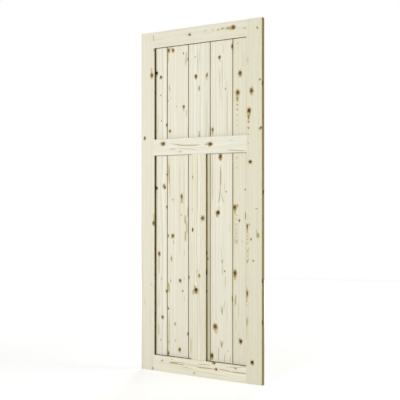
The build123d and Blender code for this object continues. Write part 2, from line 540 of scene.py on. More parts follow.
@dataclass(frozen=True)
class PlanedPine:
    """Planed and sanded pine: matt pale faces, growth rings cut at a slant, and darker edges that carry
    painted shade.

    The rings run round a pith that lies beside or behind the face, so its lines are straight where the pith
    is far to the side and arched where it is close behind. Lengths are millimetres.
    """

    name: str
    grain: Grain
    pith_across: float
    pith_depth: float
    seed: float
    palette: PinePalette
    banding: float
    marks: tuple[Mark, ...]
    edge_knots: tuple[Knot, ...] = ()
    edge_turn: tuple[float, float] = ARRISES
    ring_spacing: float = 4.5
    ring_contrast: float = 0.35

    def material(self, groups: NodeGroups) -> bpy.types.Material:
        """Build the material.

        Args:
            groups: The shared node groups.

        Returns:
            The material, ready for a member's slot.
        """
        made = bpy.data.materials.new(self.name)
        tree = empty_tree(made)
        point = self._wood_point(tree)
        knots = self._knots(groups, point, tuple(mark for mark in self.marks if isinstance(mark, Knot)))
        tan = self._tan_lines(groups, point)
        rings, bands = self._rings(point, knots["Shift"])
        fibre = self._noise(point, (2.2, 160.0, 2.2), 4.0)[0]
        wood = WoodNodes(groups, point, knots, tan, rings, bands, fibre)
        colour = self._with_edges(wood, self._face_colour(wood))
        bump = add(tree, "Bump", Strength=0.4, Distance=0.0003, Height=self._height(wood))
        # Bare planed softwood scatters light evenly, so its tone hardly changes as the eye moves: IOR of wood
        # fibre, high roughness, and little gloss, because open pores break the mirror image up
        matt = {"Roughness": 0.8, "IOR": 1.5, "Specular_IOR_Level": 0.1}
        shader = add(tree, "BsdfPrincipled", Base_Color=colour, Normal=bump, **matt)
        add(tree, "OutputMaterial", Surface=shader)
        return made

    def _wood_point(self, tree: Tree) -> Value:
        """Turn each point of the object into one of the wood.

        Args:
            tree: The node tree.

        Returns:
            The millimetres across the grain, along it and into the board.
        """
        sides = (place_on(tree) * (MM_PER_M, MM_PER_M, MM_PER_M)).parts()
        order = (0, 2, 1) if self.grain is Grain.UPRIGHT else (2, 0, 1)
        return combine(*(sides[index] for index in order))

    def _own(self, mark: Mark) -> dict[str, Any]:
        """Name a mark's numbers after the inputs of its node group.

        Args:
            mark: The knot or line.

        Returns:
            Its numbers, with its centre in the order of the wood point.
        """
        numbers = {name.removeprefix("half_").title(): value for name, value in vars(mark).items()}
        x, z = numbers.pop("X"), numbers.pop("Z")
        return numbers | {"Centre": (x, z, 0.0) if self.grain is Grain.UPRIGHT else (z, x, 0.0)}

    def _noise(self, point: Value, sizes: Place, detail: float) -> tuple[Value, Value]:
        """Lay noise on the wood, in patches of these sizes across the grain, along it and into it."""
        start = (self.seed, self.seed * 1.7, self.seed * 0.6)
        return noise(point, tuple(1 / size for size in sizes), detail, start)

    def _knots(self, groups: NodeGroups, point: Value, knots: tuple[Knot, ...]) -> dict[str, Any]:
        """Chain knots, each adding to the grain's bend and the colours of the last.

        Args:
            groups: The shared node groups.
            point: The wood point, or the same with the depth in the place across the grain.
            knots: The knots in the order they are laid.

        Returns:
            The running values after the last knot.
        """
        centred = self._noise(point, (7.0, 9.0, 9.0), 3.0)[1] - (0.5, 0.5, 0.5)
        ragged = centred * KNOT_RAGGED + point
        mottle = centred.parts()[2]
        running: dict[str, Any] = {"Shift": 0.0, "Core": 0.0, "Halo": 0.0, "Nearest": FAR_FROM_KNOTS}
        running |= {"Tone": linear("5e3c1f"), "Point": ragged}
        for knot in knots:
            own = self._own(knot) | {"Mottle": mottle}
            own["Heart"], own["Rim"] = (linear(colour) for colour in own.pop("Tone").value)
            node = add(point.tree, "Group", {"node_tree": groups.knot}, **own, **running)
            running = {name: Value(node.outputs[name]) for name in running}
        return running

    def _tan_lines(self, groups: NodeGroups, point: Value) -> Any:
        """Chain the member's streaks, feathers and flames into one mask.

        Args:
            groups: The shared node groups.
            point: The wood point.

        Returns:
            How tan each point is, which passes 1 where a line is dark.
        """
        sway = self._noise(point, (900.0, 90.0, 900.0), 1.0)[0]
        curved = point + combine((sway - 0.5) * LINE_SWAY)
        tan: Any = 0.0
        for mark in self.marks:
            if not isinstance(mark, Knot):
                line = {"node_tree": groups.lines[type(mark)]}
                node = add(point.tree, "Group", line, Point=curved, Tan=tan, **self._own(mark))
                tan = Value(node.outputs["Tan"])
        return tan

    def _rings(self, point: Value, shift: Value) -> tuple[Value, Value]:
        """Cut the growth rings.

        Args:
            point: The wood point.
            shift: How far the knots push the grain aside.

        Returns:
            The latewood mask, and the slow change in tone from ring to ring.
        """
        across, _, depth = point.parts()
        drift = self._noise(point, (400.0, 330.0, 400.0), 1.5)[1].parts()
        side = (drift[0] - 0.5) * RING_WANDER[0] + across - self.pith_across + shift
        deep = (drift[1] - 0.5) * RING_WANDER[1] + depth - self.pith_depth
        reach = (side * side + deep * deep).root()
        turns = reach / self.ring_spacing
        one_way = {"noise_dimensions": "1D"}
        pace = turns * RING_JITTER_PACE
        jitter = Value(add(point.tree, "TexNoise", one_way, W=pace, Scale=1.0, Detail=1.0).outputs[0])
        share = (jitter * RING_JITTER + turns).maths("FRACT")
        layers = {"W": reach / BAND_WIDTH + self.seed, "Scale": 1.0, "Detail": 3.0, "Roughness": 0.6}
        bands = Value(add(point.tree, "TexNoise", one_way, **layers).outputs[0])
        return share.ramp(0.25, 0.88) * share.ramp(1.0, 0.9), bands.ramp(0.36, 0.66)

    def _face_colour(self, wood: WoodNodes) -> Value:
        """Mix the face's colour from its sapwood up to its knots.

        Args:
            wood: The piece's wood.

        Returns:
            The colour.
        """
        tones, knots = self.palette, wood.knots
        colour = (wood.bands * self.banding).blend(tones.sapwood, tones.warm_band)
        colour = (wood.rings * self.ring_contrast).blend(colour, tones.latewood)
        colour = (wood.fibre.ramp(0.4, 0.75) * 0.35).blend(colour, tones.latewood)
        colour = wood.tan.blend(colour, tones.streak)
        colour = (wood.tan - 1.0).blend(colour, tones.resin)
        halo = knots["Halo"].ramp(0.45, 1.0).blend(tones.halo, tones.halo_rim)
        colour = (knots["Halo"] * 0.85).blend(colour, halo)
        return knots["Core"].blend(colour, knots["Tone"])

    def _with_edges(self, wood: WoodNodes, face: Value) -> Value:
        """Give the machined edges, bevels and ends their darker tone, with the rings cut through. The tone is
        partly the edge grain's own and partly painted shade, most of all on the inner edges in the recesses,
        on the rails' ledges and in the V joints.

        Args:
            wood: The piece's wood.
            face: The colour of its face.

        Returns:
            The colour all over.
        """
        tree, tones, knots = wood.point.tree, self.palette, wood.knots
        facing = Value(add(tree, "TexCoord").outputs["Normal"]).parts()[1]
        across, _, height = place_on(tree).parts()
        beside = abs(across) - DOOR_HIGH.x
        above = abs(height - MIDDLE_HEIGHT) - (MIDDLE_HEIGHT - DOOR_LOW.z)
        outside = beside.larger(above).ramp(-OUTLINE_DEPTH, -OUTLINE_DEPTH / 2)
        # Painted shade: the inner edges take a much darker colour than the outer ones, standing for the shade
        # in the recesses, on the rails' ledges and in the V joints
        colour = outside.blend(tones.inner_edge, tones.outer_edge)
        colour = (wood.rings * 0.2).blend(colour, tones.resin)
        colour = (wood.tan * 0.5).blend(colour, tones.resin)
        colour = (knots["Core"] * 0.8).blend(colour, knots["Tone"])
        if self.edge_knots:
            _, along, depth = wood.point.parts()
            on_edge = self._knots(wood.groups, combine(depth, along), self.edge_knots)
            colour = on_edge["Core"].blend(colour, on_edge["Tone"])
        return abs(facing).ramp(*self.edge_turn).blend(face, colour)

    @staticmethod
    def _height(wood: WoodNodes) -> Value:
        """Raise the hard latewood and the fibres a little, and sink the rim of each knot."""
        nearest, grain = wood.knots["Nearest"], wood.rings * 0.5 + wood.fibre * 0.5
        return grain - nearest.ramp(1.15, 1.0) * nearest.ramp(0.8, 1.0)


@dataclass(frozen=True)
class BeechDowel:
    """Compressed beech: an even pinkish tan with short dark rays along the pin."""

    name: str = "beech_dowel"
    wood: str = "c9a67c"
    ray: str = "a97f55"

    def material(self) -> bpy.types.Material:
        """Build the material.

        Returns:
            The material, ready for a dowel's slot.
        """
        made = bpy.data.materials.new(self.name)
        tree = empty_tree(made)
        rays = noise(place_on(tree), (1400.0, 1400.0, 250.0), 2.0)[0]
        colour = rays.ramp(0.5, 0.8).blend(self.wood, self.ray)
        # Pressed smooth, so it gives the eye a soft sheen along the pin: IOR of wood fibre, middling
        # roughness
        shader = add(tree, "BsdfPrincipled", Base_Color=colour, Roughness=0.55, IOR=1.5)
        add(tree, "OutputMaterial", Surface=shader)
        return made


@dataclass(frozen=True)
class BrightWire:
    """Drawn steel wire, cut and stamped into nails: grey and slightly scuffed."""

    name: str = "bright_wire"
    steel: str = "a3a29c"
    scuff: str = "6f6d66"

    def material(self) -> bpy.types.Material:
        """Build the material.

        Returns:
            The material, ready for a nail's slot.
        """
        made = bpy.data.materials.new(self.name)
        tree = empty_tree(made)
        amount = noise(place_on(tree), (900.0, 900.0, 900.0), 3.0)[0].ramp(0.45, 0.7)
        colour = amount.blend(self.steel, self.scuff)
        roughness = amount * 0.25 + 0.32
        # Bare drawn steel mirrors its surroundings softly, and where it is scuffed it only shines dully
        shader = add(tree, "BsdfPrincipled", Base_Color=colour, Roughness=roughness, Metallic=1.0)
        add(tree, "OutputMaterial", Surface=shader)
        return made


def dress(node: str, material: bpy.types.Material) -> None:
    """Give a CAD node its finish.

    Args:
        node: The node's name.
        material: The finish that takes the place of its plain one.
    """
    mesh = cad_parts[node].data
    mesh.materials.clear()
    mesh.materials.append(material)
    log.info("%s wears %s", node, material.name)


BLACK, DARK, BROWN, RED, TAN, OLIVE, GREY = KnotTone


@dataclass(frozen=True)
class DoorFrame:
    """The two stiles, three rails and mullion, each cut from its own board with its own knots."""

    groups: NodeGroups
    hairline_inset: float = 0.8
    hairline_half_width: float = 1.5

    def dress(self) -> None:
        """Dress the six members."""
        rails = (self._top_rail(), self._mid_rail(), self._bottom_rail())
        for pine in (self._left_stile(), self._right_stile(), *rails, self._mullion()):
            dress(pine.name.removesuffix("_pine"), pine.material(self.groups))

    def _shoulders(self, rail: str) -> tuple[Streak, Streak]:
        """Draw the hairline where each end of a rail meets its stile.

        Args:
            rail: The rail's node.

        Returns:
            The left and the right one.
        """
        low, high = (corner * MM_PER_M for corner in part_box(rail))
        middle, half = (low.z + high.z) / 2, high.z - low.z
        left, right = low.x + self.hairline_inset, high.x - self.hairline_inset
        width = self.hairline_half_width
        return Streak(left, middle, width, half, 0.7), Streak(right, middle, width, half, 0.4)

    def _left_stile(self) -> PlanedPine:
        """Pale board from the outside of the tree, with few knots.

        Returns:
            Its finish.
        """
        tones = PinePalette("e7e4d4", "dcd8c4", "615320")
        marks = (
            Knot(-350, 1864, 9.5, BROWN, 1.25), Streak(-352, 1892, 11, 26, 0.6),
            Streak(-361, 1864, 4, 14, 0.5), Knot(-405, 1469, 7.4, BROWN, 1.15, 0.97),
            Knot(-337, 930, 7.6, BROWN, 1.6, 0.92), Streak(-336, 966, 8, 34, 0.7),
            Streak(-337, 2097, 9, 26, 0.6), Knot(-336, 2023, 5, TAN, 1.4, 0.4),
            Knot(-343, 14, 7, OLIVE, 1.2, 0.5), Streak(-422, 450, 8, 500, 0.15),
            Streak(-337, 1960, 6, 60, 0.2), Knot(-356, 541, 5, OLIVE, 1.6, 0.2),
            Streak(-405, 430, 8, 30, 0.25), Streak(-345, 150, 12, 190, 0.08),
            Streak(-418, 110, 16, 230, 0.12),
        )
        on_edge = (
            Knot(0, 1877, 11, BLACK, 1.0), Knot(-4, 1752, 9, BLACK, 1.2), Knot(2, 1506, 8, BLACK, 1.3),
            Knot(2, 1461, 8, BLACK, 1.3), Knot(2, 1153, 11, BLACK, 1.1), Knot(-5, 605, 9, BLACK, 1.2),
            Knot(-5, 361, 8, BLACK, 1.2), Knot(0, 275, 8, BLACK, 1.5),
        )
        return PlanedPine("left_stile_pine", Grain.UPRIGHT, -560.0, 40.0, 3.0, tones, 0.35, marks, on_edge)

    def _right_stile(self) -> PlanedPine:
        """Greyer board with dark knots and rows of V marks under two of them.

        Returns:
            Its finish.
        """
        tones = PinePalette("e3e0cd", "d6d0b8", "615320")
        marks = (
            Knot(402, 2076, 6, TAN, 0.9, 0.8), Knot(420, 1775, 6.5, TAN, 0.7, 0.8),
            Knot(364, 1713, 10.6, BROWN, 1.3, 0.97), Knot(336, 1895, 9, OLIVE, 2.0, 0.15),
            Knot(348, 1598, 11.8, DARK, 1.1, 0.96), Flame(346, 1588, 6, -38, 8, 1.42),
            Streak(345, 1550, 3.5, 16, 0.8), Flame(345, 1544, 7, -18, 5, 1.2),
            Flame(345, 1508, 7, -18, 5, 1.15), Flame(344, 1468, 7, -14, 5, 0.6),
            Knot(417, 1489, 7.5, TAN, 1.0, 0.6), Knot(426, 1494, 5.8, BROWN, 0.95),
            Knot(342, 1407, 4, GREY, 1.3, 0.3), Knot(356, 1300, 10.5, BLACK, 0.75),
            Knot(398, 1025, 8.5, OLIVE, 0.4, 0.65, 0.5), Streak(399, 965, 4, 70, 0.25),
            Streak(405, 870, 14, 20, 0.95), Knot(409, 868, 6, OLIVE, 1.0, 0.6, 0.5),
            Streak(398, 888, 5, 20, 0.8), Knot(361, 846, 4.5, GREY), Knot(376, 722, 4.2, GREY, 1.1, 0.95),
            Knot(349, 930, 6, TAN, 1.2, 0.4), Knot(335, 922, 6.6, RED, 1.7, 0.96),
            Streak(337, 895, 6, 22, 0.9), Flame(336, 884, 13, -24, 4, 0.6), Flame(336, 866, 14, -26, 4, 0.7),
            Flame(337, 842, 14, -26, 4, 0.6), Flame(338, 808, 14, -40, 5, 0.65),
            Flame(338, 774, 13, -34, 4, 0.5), Flame(337, 742, 11, -34, 5, 0.9),
            Knot(333, 530, 8.8, DARK, 1.8), Streak(333, 560, 5, 20, 0.4), Streak(333, 494, 5, 26, 0.9),
            Flame(334, 406, 8, -66, 6, 0.8), Streak(334, 372, 5, 18, 0.8), Streak(333, 300, 6, 60, 0.35),
            Flame(334, 472, 12, -14, 4, 0.5), Knot(369, 129, 9.9, BLACK, 1.0),
        )
        on_edge = (
            Knot(-4, 2124, 8, BROWN, 1.2, 0.5), Knot(-10, 1752, 9, BLACK, 1.8),
            Knot(2, 1561, 7, BROWN, 1.6, 0.4), Knot(8, 1122, 8, BLACK, 1.8), Knot(-10, 607, 9, BLACK, 1.8),
            Knot(2, 451, 7, BROWN, 1.6, 0.3), Knot(-10, 364, 9, BLACK, 1.8), Knot(8, 184, 6, BROWN, 1.5, 0.5),
        )
        return PlanedPine("right_stile_pine", Grain.UPRIGHT, 560.0, 60.0, 11.0, tones, 0.5, marks, on_edge)

    def _top_rail(self) -> PlanedPine:
        """Even board whose largest knot draws a flame out to its left.

        Returns:
            Its finish.
        """
        tones = PinePalette("e6e3d4", "dad5c0", "665418")
        marks = (
            Knot(-65, 2088, 8.9, BROWN, 0.92, 1.0, 0.6), Knot(243, 2096, 11.5, BROWN, 1.05),
            Flame(232, 2096, 9, -38, 9, 0.85), Streak(196, 2096, 8, 26, 0.2),
            Knot(168, 2098, 6, OLIVE, 1.5, 0.5), Knot(139, 2094, 4.5, BROWN, 1.2, 0.55),
            Streak(214, 2096, 9, 20, 0.2), Knot(100, 2097, 5, OLIVE, 1.5, 0.2),
            Knot(50, 2098, 6, OLIVE, 1.6, 0.15), Knot(321, 2083, 6, OLIVE, 1.5, 0.3),
            Streak(60, 2082, 3, 40, 0.2, -0.1),
        )
        marks += self._shoulders("top_rail")
        return PlanedPine("top_rail_pine", Grain.LEVEL, 2250.0, 60.0, 17.0, tones, 0.5, marks)

    def _mid_rail(self) -> PlanedPine:
        """Pale board with long tan streaks between and beside its two knots.

        Returns:
            Its finish.
        """
        tones = PinePalette("eae9dd", "dfd9c6", "7a6a2c", streak="a59b57")
        marks = (
            Knot(-262, 1427, 11.2, BROWN, 1.08), Streak(54, 1411, 9, 18, 0.7),
            Knot(83, 1412, 11.6, BROWN, 1.1), Streak(-90, 1410, 6, 130, 0.88, -0.05, 13.0),
            Streak(-190, 1391, 8, 28, 0.4), Streak(-75, 1387, 4, 90, 0.5, -0.1),
            Knot(-134, 1375, 6, GREY, 1.4, 0.22), Streak(262, 1368, 3.6, 86, 1.0, -0.05),
            Streak(226, 1430, 6, 16, 0.3),
        )
        marks += self._shoulders("mid_rail")
        return PlanedPine("mid_rail_pine", Grain.LEVEL, 1570.0, 60.0, 23.0, tones, 0.35, marks)

    def _bottom_rail(self) -> PlanedPine:
        """Board with thin dark resin lines along it and small knots.

        Returns:
            Its finish.
        """
        tones = PinePalette("eeebda", "e0dbc6", "604c0c")
        marks = (
            Knot(110, 97, 8.8, BROWN, 1.15, 0.84), Knot(124, 60, 6.4, DARK, 1.15),
            Knot(258, 80, 5, OLIVE, 1.5, 0.6), Streak(-182, 64, 8, 44, 1.05),
            Streak(-130, 60, 5, 34, 0.9, -0.05), Streak(-130, 74, 4, 34, 0.4, 0.1),
            Knot(-270, 69, 5, OLIVE, 1.3, 0.6), Knot(-195, 85, 4, OLIVE, 1.2, 0.35),
            Knot(-30, 19, 6, OLIVE, 1.3, 0.4), Streak(52, 59, 3.4, 80, 1.3, 0.02),
            Streak(40, 79, 3.4, 56, 0.9, 0.02), Streak(185, 61, 3.4, 50, 1.2, -0.09),
            Streak(280, 57, 3.6, 70, 1.4), Streak(262, 88, 3.4, 86, 0.7, 0.1), Streak(-90, 50, 4, 16, 0.4),
            Streak(-150, 48, 3, 150, 0.5, -0.04), Streak(30, 30, 3, 250, 0.35, -0.03),
            Streak(-40, 66, 3, 190, 0.5, -0.05),
        )
        marks += self._shoulders("bottom_rail")
        # Its arrises take the dark inner edge colour too, which widens the painted shade along its ledge
        return PlanedPine("bottom_rail_pine", Grain.LEVEL, -120.0, 50.0, 31.0, tones, 0.4, marks, (), BEVELS)

    def _mullion(self) -> PlanedPine:
        """Board with broad warm bands and two large round knots.

        Returns:
            Its finish.
        """
        tones = PinePalette("eceadb", "dbd5bd", "a59560")
        marks = (
            Knot(-44, 1216, 5, BROWN, 1.5, 0.5), Knot(38, 980, 5, RED, 1.0, 0.4),
            Knot(28, 966, 12.3, BROWN, 0.95, 0.88), Knot(-46, 1017, 5, TAN, 1.0, 0.25),
            Knot(-44, 895, 6, DARK, 1.5), Knot(4, 617, 7.5, OLIVE, 1.1, 0.9),
            Knot(-10, 640, 6, GREY, 1.0, 0.15), Streak(-31, 549, 7, 16, 0.7), Streak(-40, 512, 9, 20, 0.7),
            Knot(-19, 528, 13.4, DARK, 1.0), Streak(6, 480, 8, 300, 0.25), Streak(-12, 1150, 10, 250, 0.2),
        )
        on_edge = (
            Knot(-3, 756, 9, BLACK, 1.5), Knot(-6, 638, 10, BLACK, 2.2), Knot(-3, 522, 8, BLACK, 1.4),
        )
        return PlanedPine("mullion_pine", Grain.UPRIGHT, 190.0, 40.0, 37.0, tones, 1.0, marks, on_edge)


@dataclass(frozen=True)
class BoardPanel:
    """The five tongued and grooved boards that fill the frame, left to right."""

    groups: NodeGroups

    def dress(self) -> None:
        """Dress the boards."""
        for pine in (self._first(), self._second(), self._third(), self._fourth(), self._fifth()):
            dress(pine.name.removesuffix("_pine"), pine.material(self.groups))

    def _first(self) -> PlanedPine:
        """Narrow board beside the left stile, with small dark knots.

        Returns:
            Its finish.
        """
        tones = PinePalette("eeede3", "dfdac8", "a38d58")
        marks = (
            Knot(-325, 1878, 9, BLACK, 1.1), Knot(-293, 1850, 7.8, DARK, 1.1),
            Knot(-295, 1736, 4, OLIVE, 1.0, 0.8), Knot(-287, 1574, 4, TAN, 1.1, 0.7),
            Streak(-314, 1555, 5, 90, 0.3), Streak(-283, 1610, 2.5, 60, 0.3), Knot(-246, 1548, 7, BLACK, 1.2),
            Knot(-244, 1237, 6, BLACK, 1.0), Knot(-270, 1164, 11, TAN, 1.3, 0.85, 0.6),
            Knot(-262, 1155, 6.5, DARK, 1.1), Knot(-325, 1151, 6.5, BLACK, 1.2),
            Knot(-246, 1033, 5.8, RED, 1.3), Knot(-306, 738, 8.5, RED, 1.35), Streak(-308, 666, 8, 76, 0.5),
            Knot(-290, 581, 4, OLIVE, 1.8, 0.4), Knot(-246, 505, 7.5, BLACK, 1.1),
            Streak(-308, 460, 6, 80, 0.25), Knot(-281, 341, 8, BROWN, 1.0), Streak(-310, 257, 6, 46, 0.75),
            Streak(-308, 335, 5, 24, 0.2), Knot(-294, 196, 5, OLIVE, 1.1, 0.5),
            # Streak(-327, 1067, 8, 1500, 0.6) is painted shade: a tan band along the corner beside the left
            # stile, all the way up
            Streak(-243, 1760, 6, 420, 0.85), Streak(-327, 1067, 8, 1500, 0.6),
        )
        return PlanedPine("board_1_pine", Grain.UPRIGHT, -420.0, 55.0, 43.0, tones, 0.8, marks, (), BEVELS)

    def _second(self) -> PlanedPine:
        """Wide board with most of the small knots and a resin pocket beside its first joint.

        Returns:
            Its finish.
        """
        tones = PinePalette("eceadc", "dfdac8", "9b8b58")
        marks = (
            Streak(-214, 2024, 10, 14, 0.6), Knot(-234, 2013, 9, BROWN, 1.15, 0.9),
            Knot(-201, 2010, 8.8, RED, 1.1, 0.84), Knot(-124, 1984, 4, GREY, 1.1),
            Streak(-104, 1950, 9, 56, 0.6, 0.08), Knot(-91, 1943, 4.2, DARK, 1.6, 0.8),
            Knot(-228, 1776, 4, OLIVE, 1.8, 0.45), Streak(-226, 1775, 4, 32, 0.6, -0.12),
            Knot(-217, 1713, 4, GREY, 1.2, 0.25), Knot(-238, 1697, 3.5, OLIVE, 1.5, 0.6),
            Knot(-175, 1658, 4, GREY, 1.1, 0.3), Knot(-121, 1653, 6.8, BROWN, 1.25, 0.97),
            Streak(-121, 1631, 5, 14, 0.6), Streak(-103, 1612, 6, 30, 0.6), Streak(-222, 1590, 2.2, 110, 0.3),
            Knot(-225, 1507, 7.2, BROWN, 1.1, 0.85), Streak(-90, 1500, 6, 40, 0.4),
            Streak(-238, 1300, 5, 60, 0.35), Streak(-231, 1238, 9, 84, 0.9, -0.02),
            Streak(-229, 1220, 6, 170, 0.3), Knot(-240, 1250, 4, DARK, 3.0, 0.3),
            Streak(-223, 1140, 2.5, 70, 0.5), Knot(-136, 1099, 7.8, BROWN, 1.5, 0.92),
            Streak(-135, 1074, 12, 26, 0.85), Knot(-203, 1078, 12, OLIVE, 0.65, 0.35, 0.0),
            Streak(-91, 1000, 5, 44, 1.0), Knot(-139, 983, 4, GREY, 1.0, 0.6), Streak(-109, 955, 11, 36, 0.8),
            Streak(-102, 908, 5, 56, 0.9), Streak(-108, 852, 11, 42, 0.75), Streak(-114, 748, 6, 30, 0.3),
            Knot(-203, 853, 10.2, BROWN, 1.0, 0.9), Streak(-236, 1975, 6, 60, 0.5),
            Knot(-238, 853, 6, BROWN, 1.1, 0.8), Streak(-198, 812, 3.4, 16, 1.0),
            Knot(-214, 711, 5.5, OLIVE, 2.4, 0.6), Knot(-218, 572, 4, OLIVE, 1.8, 0.5),
            Knot(-148, 577, 8.8, BROWN, 1.0), Knot(-118, 590, 7, GREY, 1.3, 0.15, 0.3),
            Streak(-233, 528, 8, 40, 1.1, -0.05), Knot(-128, 514, 4.5, GREY, 1.1, 0.85),
            Streak(-115, 470, 3.5, 30, 0.4), Knot(-237, 397, 5, GREY, 1.1),
            Knot(-186, 305, 6, BROWN, 1.3, 0.6), Streak(-178, 292, 4, 10, 0.4), Streak(-92, 905, 5, 50, 0.5),
            Knot(-88, 251, 6.2, BLACK, 1.3), Streak(-232, 235, 8, 150, 0.55),
            Knot(-183, 202, 6, OLIVE, 1.0, 0.35), Knot(-232, 190, 5, OLIVE, 2.0, 0.3),
            Knot(-151, 148, 8.8, BROWN, 1.0), Knot(-236, 116, 7, BROWN, 2.0, 0.8),
            Streak(-150, 1100, 9, 260, 0.25), Streak(-120, 1150, 6, 200, 0.25),
            Streak(-152, 850, 7, 160, 0.2),
        )
        return PlanedPine("board_2_pine", Grain.UPRIGHT, 40.0, 55.0, 47.0, tones, 0.7, marks, (), BEVELS)

    def _third(self) -> PlanedPine:
        """Board behind the mullion, with the mullion's painted shadow as a soft tan band along its right
        side.

        Returns:
            Its finish.
        """
        # Its streak colour also paints the mullion's shadow on this board
        tones = PinePalette("eeeee4", "dfdac8", "8a7844", streak="a89236")
        marks = (
            Knot(-38, 1953, 4.5, OLIVE, 1.1, 0.6), Streak(-8, 1945, 3.5, 60, 0.45),
            Streak(-22, 1950, 2.5, 50, 0.5), Streak(-16, 1900, 6, 70, 0.3), Knot(-32, 1833, 9, BROWN, 1.15),
            Knot(45, 1828, 7.5, OLIVE, 2.0, 0.7, 0.5), Knot(50, 1838, 4.4, BROWN, 1.6, 0.9),
            Knot(-9, 1758, 5.6, OLIVE, 2.0, 0.7), Streak(42, 1560, 7, 150, 0.3),
            Streak(56, 1600, 3, 200, 0.3), Streak(-9, 1480, 8, 26, 0.65), Knot(-5, 1468, 4, OLIVE, 2.2, 0.5),
            # Streak(60, 640, 11, 1000, 0.42) is painted shadow of the mullion on the strip of board between
            # it and the next joint, mostly below the mid rail
            Streak(68, 1490, 4, 34, 0.9), Streak(60, 640, 11, 1000, 0.42), Streak(68, 1290, 6, 90, 0.4),
            Knot(54, 720, 4.5, DARK, 1.3, 0.7), Knot(-84, 600, 6.2, BLACK, 1.3), Streak(-66, 180, 9, 60, 0.4),
        )
        return PlanedPine("board_3_pine", Grain.UPRIGHT, -190.0, 55.0, 51.0, tones, 1.0, marks, (), BEVELS)

    def _fourth(self) -> PlanedPine:
        """Wide board with a dark heart streak and a row of flames down its middle.

        Returns:
            Its finish.
        """
        tones = PinePalette("eceadd", "dfdac8", "a29050", streak="a59b57")
        marks = (
            Streak(163, 1980, 3, 36, 0.5), Knot(223, 1990, 4.7, BLACK, 2.3),
            Knot(136, 1934, 8.2, BROWN, 1.0, 0.94), Streak(141, 1912, 5, 16, 0.5),
            Streak(155, 1858, 3, 84, 0.8, 0.0, -3.0), Streak(140, 1820, 4, 60, 0.5, 0.02),
            Streak(133, 1800, 3, 80, 0.5, -0.05), Streak(155, 1770, 3, 50, 0.5),
            Knot(178, 1741, 3.5, GREY, 1.2, 0.8), Streak(181, 1765, 3, 24, 0.4),
            Streak(142, 1720, 3, 50, 0.5), Streak(190, 1600, 10, 200, 0.3), Streak(152, 1680, 5, 60, 0.25),
            Knot(88, 1500, 6.2, BROWN, 1.6, 0.9), Streak(87, 1483, 6, 26, 0.9), Streak(75, 1490, 4, 34, 0.9),
            Knot(142, 1337, 11.2, RED, 1.2), Streak(87, 1210, 9, 190, 0.35), Streak(143, 1318, 8, 14, 0.6),
            Streak(143, 1210, 7, 80, 0.95), Streak(143, 1255, 3.5, 44, 0.7),
            Streak(138, 1108, 5, 62, 1.0, 0.14), Streak(156, 1088, 5, 38, 0.65, -0.36),
            Streak(172, 1150, 3, 36, 0.5), Knot(183, 1125, 4.2, GREY, 1.2, 0.65),
            Streak(133, 1028, 4, 14, 0.7), Knot(120, 998, 10.5, RED, 1.15, 0.85),
            Knot(128, 1001, 10, DARK, 1.1), Streak(120, 978, 9, 12, 0.6), Streak(148, 758, 3, 44, 0.5, -0.08),
            Flame(155, 730, 8, -36, 5, 0.8), Streak(157, 655, 7, 44, 0.45),
            Knot(172, 650, 4.8, BROWN, 0.8, 1.0), Streak(176, 588, 3, 44, 0.7),
            Flame(154, 456, 11, -64, 4.5, 0.85), Streak(172, 448, 3.2, 34, 0.6),
            Streak(154, 400, 4.5, 22, 0.6), Knot(103, 314, 17, TAN, 0.95, 0.55, 0.0),
            Flame(111, 296, 19, -24, 5, 0.9), Knot(107, 312, 13.2, RED, 1.0, 0.94),
            Flame(152, 242, 12, -50, 6, 0.85), Streak(150, 212, 6, 18, 0.8), Streak(128, 150, 3, 56, 1.1),
            Streak(171, 128, 3, 30, 0.9), Streak(210, 126, 3, 28, 0.9), Knot(196, 175, 3.5, OLIVE, 1.3, 0.5),
            Knot(83, 135, 9.9, DARK, 1.3), Streak(190, 400, 3, 90, 0.3), Streak(224, 486, 5, 22, 1.3),
            Streak(205, 910, 9, 40, 0.2),
        )
        return PlanedPine("board_4_pine", Grain.UPRIGHT, 330.0, 55.0, 55.0, tones, 0.7, marks, (), BEVELS)

